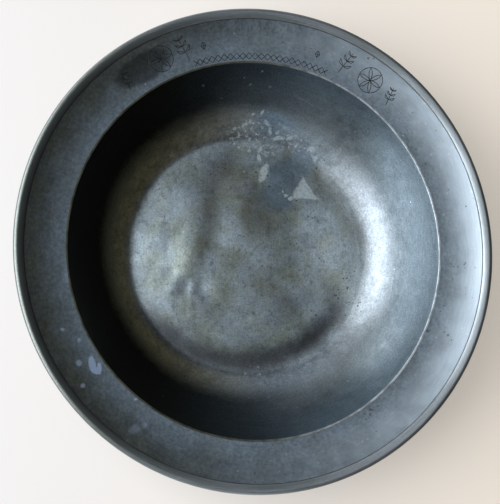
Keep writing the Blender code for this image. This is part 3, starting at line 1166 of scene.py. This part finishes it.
def brim_material():
    """Dark pewter with turning lines, mottling, splashes and a stain."""
    mat = Material("brim_pewter_worn")
    place = mat.place()
    radius, turned = mat.polar(place)
    ring = mat.noise(turned, BRIM_RING)
    top = mat.top_side()
    ragged = mat.wander(place, *BRIM_RAGGED)
    crisp = mat.wander(place, BRIM_CRISP)
    comb = mat.step(mat.noise(place, COMB_GRAIN), COMB_TEETH)
    spots = mat.most(mat.marks(crisp, SPLASH_SPOTS), mat.marks(ragged, BLUE_SMUDGES))
    splash = mat.times(mat.most(mat.marks(crisp, SPLASHES), spots), top)
    flecks = pale_flecks(mat, place, mat.step(mat.part(place, "X"), BRIM_FLECKS_RIGHT))
    colour = mat.layered(brim_colour(mat, place, radius, ring), [
        (mat.times(mat.marks(ragged, BRIM_STAINS), top), PIT_DARK),
        (mat.times(mat.marks(ragged, COMB_FIELDS), comb, top), PIT_DARK),
        (splash, SPLASH_PALE),
        (mat.times(brim_specks(mat, place), SPECK_STRENGTH), PIT_DARK),
        (mat.times(flecks, BRIM_FLECK_STRENGTH), FLECK_PALE),
    ])
    roughness = mat.step(mat.noise(place, BRIM_PATCHES), BRIM_ROUGHNESS)
    height = mat.plus(mat.times(mat.noise(place, FINE_GRAIN), GRAIN_HEIGHT), ring, BRIM_RING_HEIGHT)
    return mat.metal(colour, roughness, mat.step(splash, SPLASHED_METAL), height, BRIM_BUMP)


def reed_material():
    """Paler worn pewter with painted shade on the left, dirt in its seam, and painted shade on its outer
    edge on the right.
    """
    mat = Material("reed_pewter_worn")
    place = mat.place()
    across = mat.part(place, "X")
    radius, turned = mat.polar(place)
    grain = mat.noise(place, FINE_GRAIN)
    cloud = mat.step(mat.noise(turned, REED_CLOUD), REED_CLOUDS)
    colour = mat.blend(cloud, REED_DARK, REED_METAL)
    # Painted shade on the left of the reed
    colour = mat.blend(mat.step(across, REED_LEFT), colour, REED_PAINTED_SHADE)
    # Painted shade on the reed's outer edge towards the right
    edge = mat.times(mat.step(radius, REED_EDGE_PAINTED_SHADE), mat.step(across, REED_EDGE_SHADE_RIGHT))
    seam = mat.times(mat.step(radius, REED_SEAM_GRIME), mat.step(across, REED_SEAM_RIGHT))
    grime_and_shade = mat.most(seam, edge)
    colour = mat.blend(grime_and_shade, colour, GRIME_AND_PAINTED_SHADE)
    roughness = mat.step(grain, REED_ROUGHNESS)
    return mat.metal(colour, roughness, mat.step(grime_and_shade, GRIME_AND_SHADE_METAL), grain, BRIM_BUMP)


def cut_material():
    """The dark of cut lines, dusty in places."""
    mat = Material("engraved_pewter")
    dust = mat.noise(mat.place(), CUT_DUST)
    colour = mat.blend(mat.step(dust, CUT_DUST_COVER), CUT_DARK, CUT_DUSTY)
    return mat.metal(colour, mat.step(dust, CUT_ROUGHNESS), BRIM_METAL_SHARE, dust, CUT_BUMP)


# Studio: a pale floor, a window-like light on the left and dim surroundings
STAGE_HALF = 4.0
STAGE_DROP = 0.0002
STAGE_GLOW = 0.8
STAGE_ROUGHNESS = 0.9
STAGE_COLOUR = (0.42, 0.417, 0.419)
# A warm tint painted towards the right, for the brownish shade there
STAGE_SHADE_WARMTH = (0.53, 0.48, 0.415)
STAGE_SHADE_WARMTH_RIGHT = Ramp(-250, 350)
SURROUNDINGS = (0.015, 0.015, 0.015, 1.0)
BACKDROP = (0.62, 0.605, 0.585, 1.0)
LIGHT_AIM = (0.0, 0.0, 0.04)

# Lamps: tilt from upright and azimuth in degrees, distance, width, height in metres, power in watts
LAMPS = {
    "window_low": (77, 171, 1.8, 4.3, 0.75, 64),
    "window_middle": (54, 180, 1.8, 1.9, 1.1, 34),
    "window_high": (30, 174, 1.8, 1.2, 0.9, 11),
    "overhead": (6, 60, 1.8, 1.2, 1.2, 1.2),
    "panel_upper": (64, 90, 1.8, 1.4, 1.2, 1.8),
    "panel_lower": (64, 270, 1.8, 1.4, 1.2, 2.8),
}


def direction(tilt, azimuth):
    """The unit direction at a tilt from upright and an azimuth, in degrees."""
    t = math.radians(tilt)
    a = math.radians(azimuth)
    return Vector((math.sin(t) * math.cos(a), math.sin(t) * math.sin(a), math.cos(t)))


def make_lamp(name, tilt, azimuth, distance, width, height, power):
    """A rectangular soft lamp that faces the basin."""
    lamp = bpy.data.lights.new(name, "AREA")
    lamp.shape = "RECTANGLE"
    lamp.size = width
    lamp.size_y = height
    lamp.energy = power
    holder = add_object(name, lamp)
    away = direction(tilt, azimuth)
    holder.location = Vector(LIGHT_AIM) + away * distance
    holder.rotation_euler = away.to_track_quat("Z", "Y").to_euler()


def stage_material():
    """Pale paper with a warm tint painted on the right for the brownish shade there, that glows for the
    camera and in reflections.
    """
    mat = Material("stage_paper")
    # A warm tint of shade painted towards the right
    tone = mat.step(mat.part(mat.place(), "X"), STAGE_SHADE_WARMTH_RIGHT)
    colour = mat.blend(tone, STAGE_COLOUR, STAGE_SHADE_WARMTH)
    paths = mat.add("LightPath")
    seen = mat.most(paths.outputs["Is Camera Ray"], paths.outputs["Is Glossy Ray"])
    names = ("Base Color", "Roughness", "Emission Color", "Emission Strength")
    mat.fill(mat.shader, zip(names, (colour, STAGE_ROUGHNESS, colour, mat.times(seen, STAGE_GLOW))))
    return mat.material


def make_stage():
    """The floor under the basin."""
    mesh = bpy.data.meshes.new("stage_floor")
    signs = [(-1.0, -1.0), (1.0, -1.0), (1.0, 1.0), (-1.0, 1.0)]
    corners = [(x * STAGE_HALF, y * STAGE_HALF, -STAGE_DROP) for x, y in signs]
    mesh.from_pydata(corners, [], [(0, 1, 2, 3)])
    mesh.materials.append(stage_material())
    floor = add_object("stage_floor", mesh)


def make_world():
    """Dim surroundings, with a pale backdrop for the camera alone."""
    world = bpy.data.worlds.new("surroundings")
    world.use_nodes = True
    nodes = world.node_tree.nodes
    links = world.node_tree.links
    dim = nodes["Background"]
    dim.inputs["Color"].default_value = SURROUNDINGS
    pale = nodes.new("ShaderNodeBackground")
    pale.inputs["Color"].default_value = BACKDROP
    paths = nodes.new("ShaderNodeLightPath")
    either = nodes.new("ShaderNodeMixShader")
    links.new(paths.outputs["Is Camera Ray"], either.inputs[0])
    links.new(dim.outputs[0], either.inputs[1])
    links.new(pale.outputs[0], either.inputs[2])
    links.new(either.outputs[0], nodes["World Output"].inputs["Surface"])
    bpy.context.scene.world = world


def make_camera():
    """The camera at the photograph's viewing angle."""
    lens = bpy.data.cameras.new("camera")
    lens.lens = VIEW_LENS
    camera = add_object("camera", lens)
    back = direction(VIEW_TILT, VIEW_AZIMUTH)
    right = Vector((0.0, 1.0, 0.0)).cross(back).normalized()
    up = back.cross(right)
    turn = Matrix((right, up, back)).transposed().to_4x4()
    camera.matrix_world = Matrix.Translation(Vector(VIEW_AIM) + back * VIEW_DISTANCE) @ turn
    bpy.context.scene.camera = camera


make_camera()
make_bowl(bowl_material())
make_brim(brim_material())
make_reed(reed_material())
make_engraving(cut_material())
make_stage()
make_world()
for lamp, settings in LAMPS.items():
    make_lamp(lamp, *settings)
bpy.context.scene.view_settings.view_transform = "Standard"
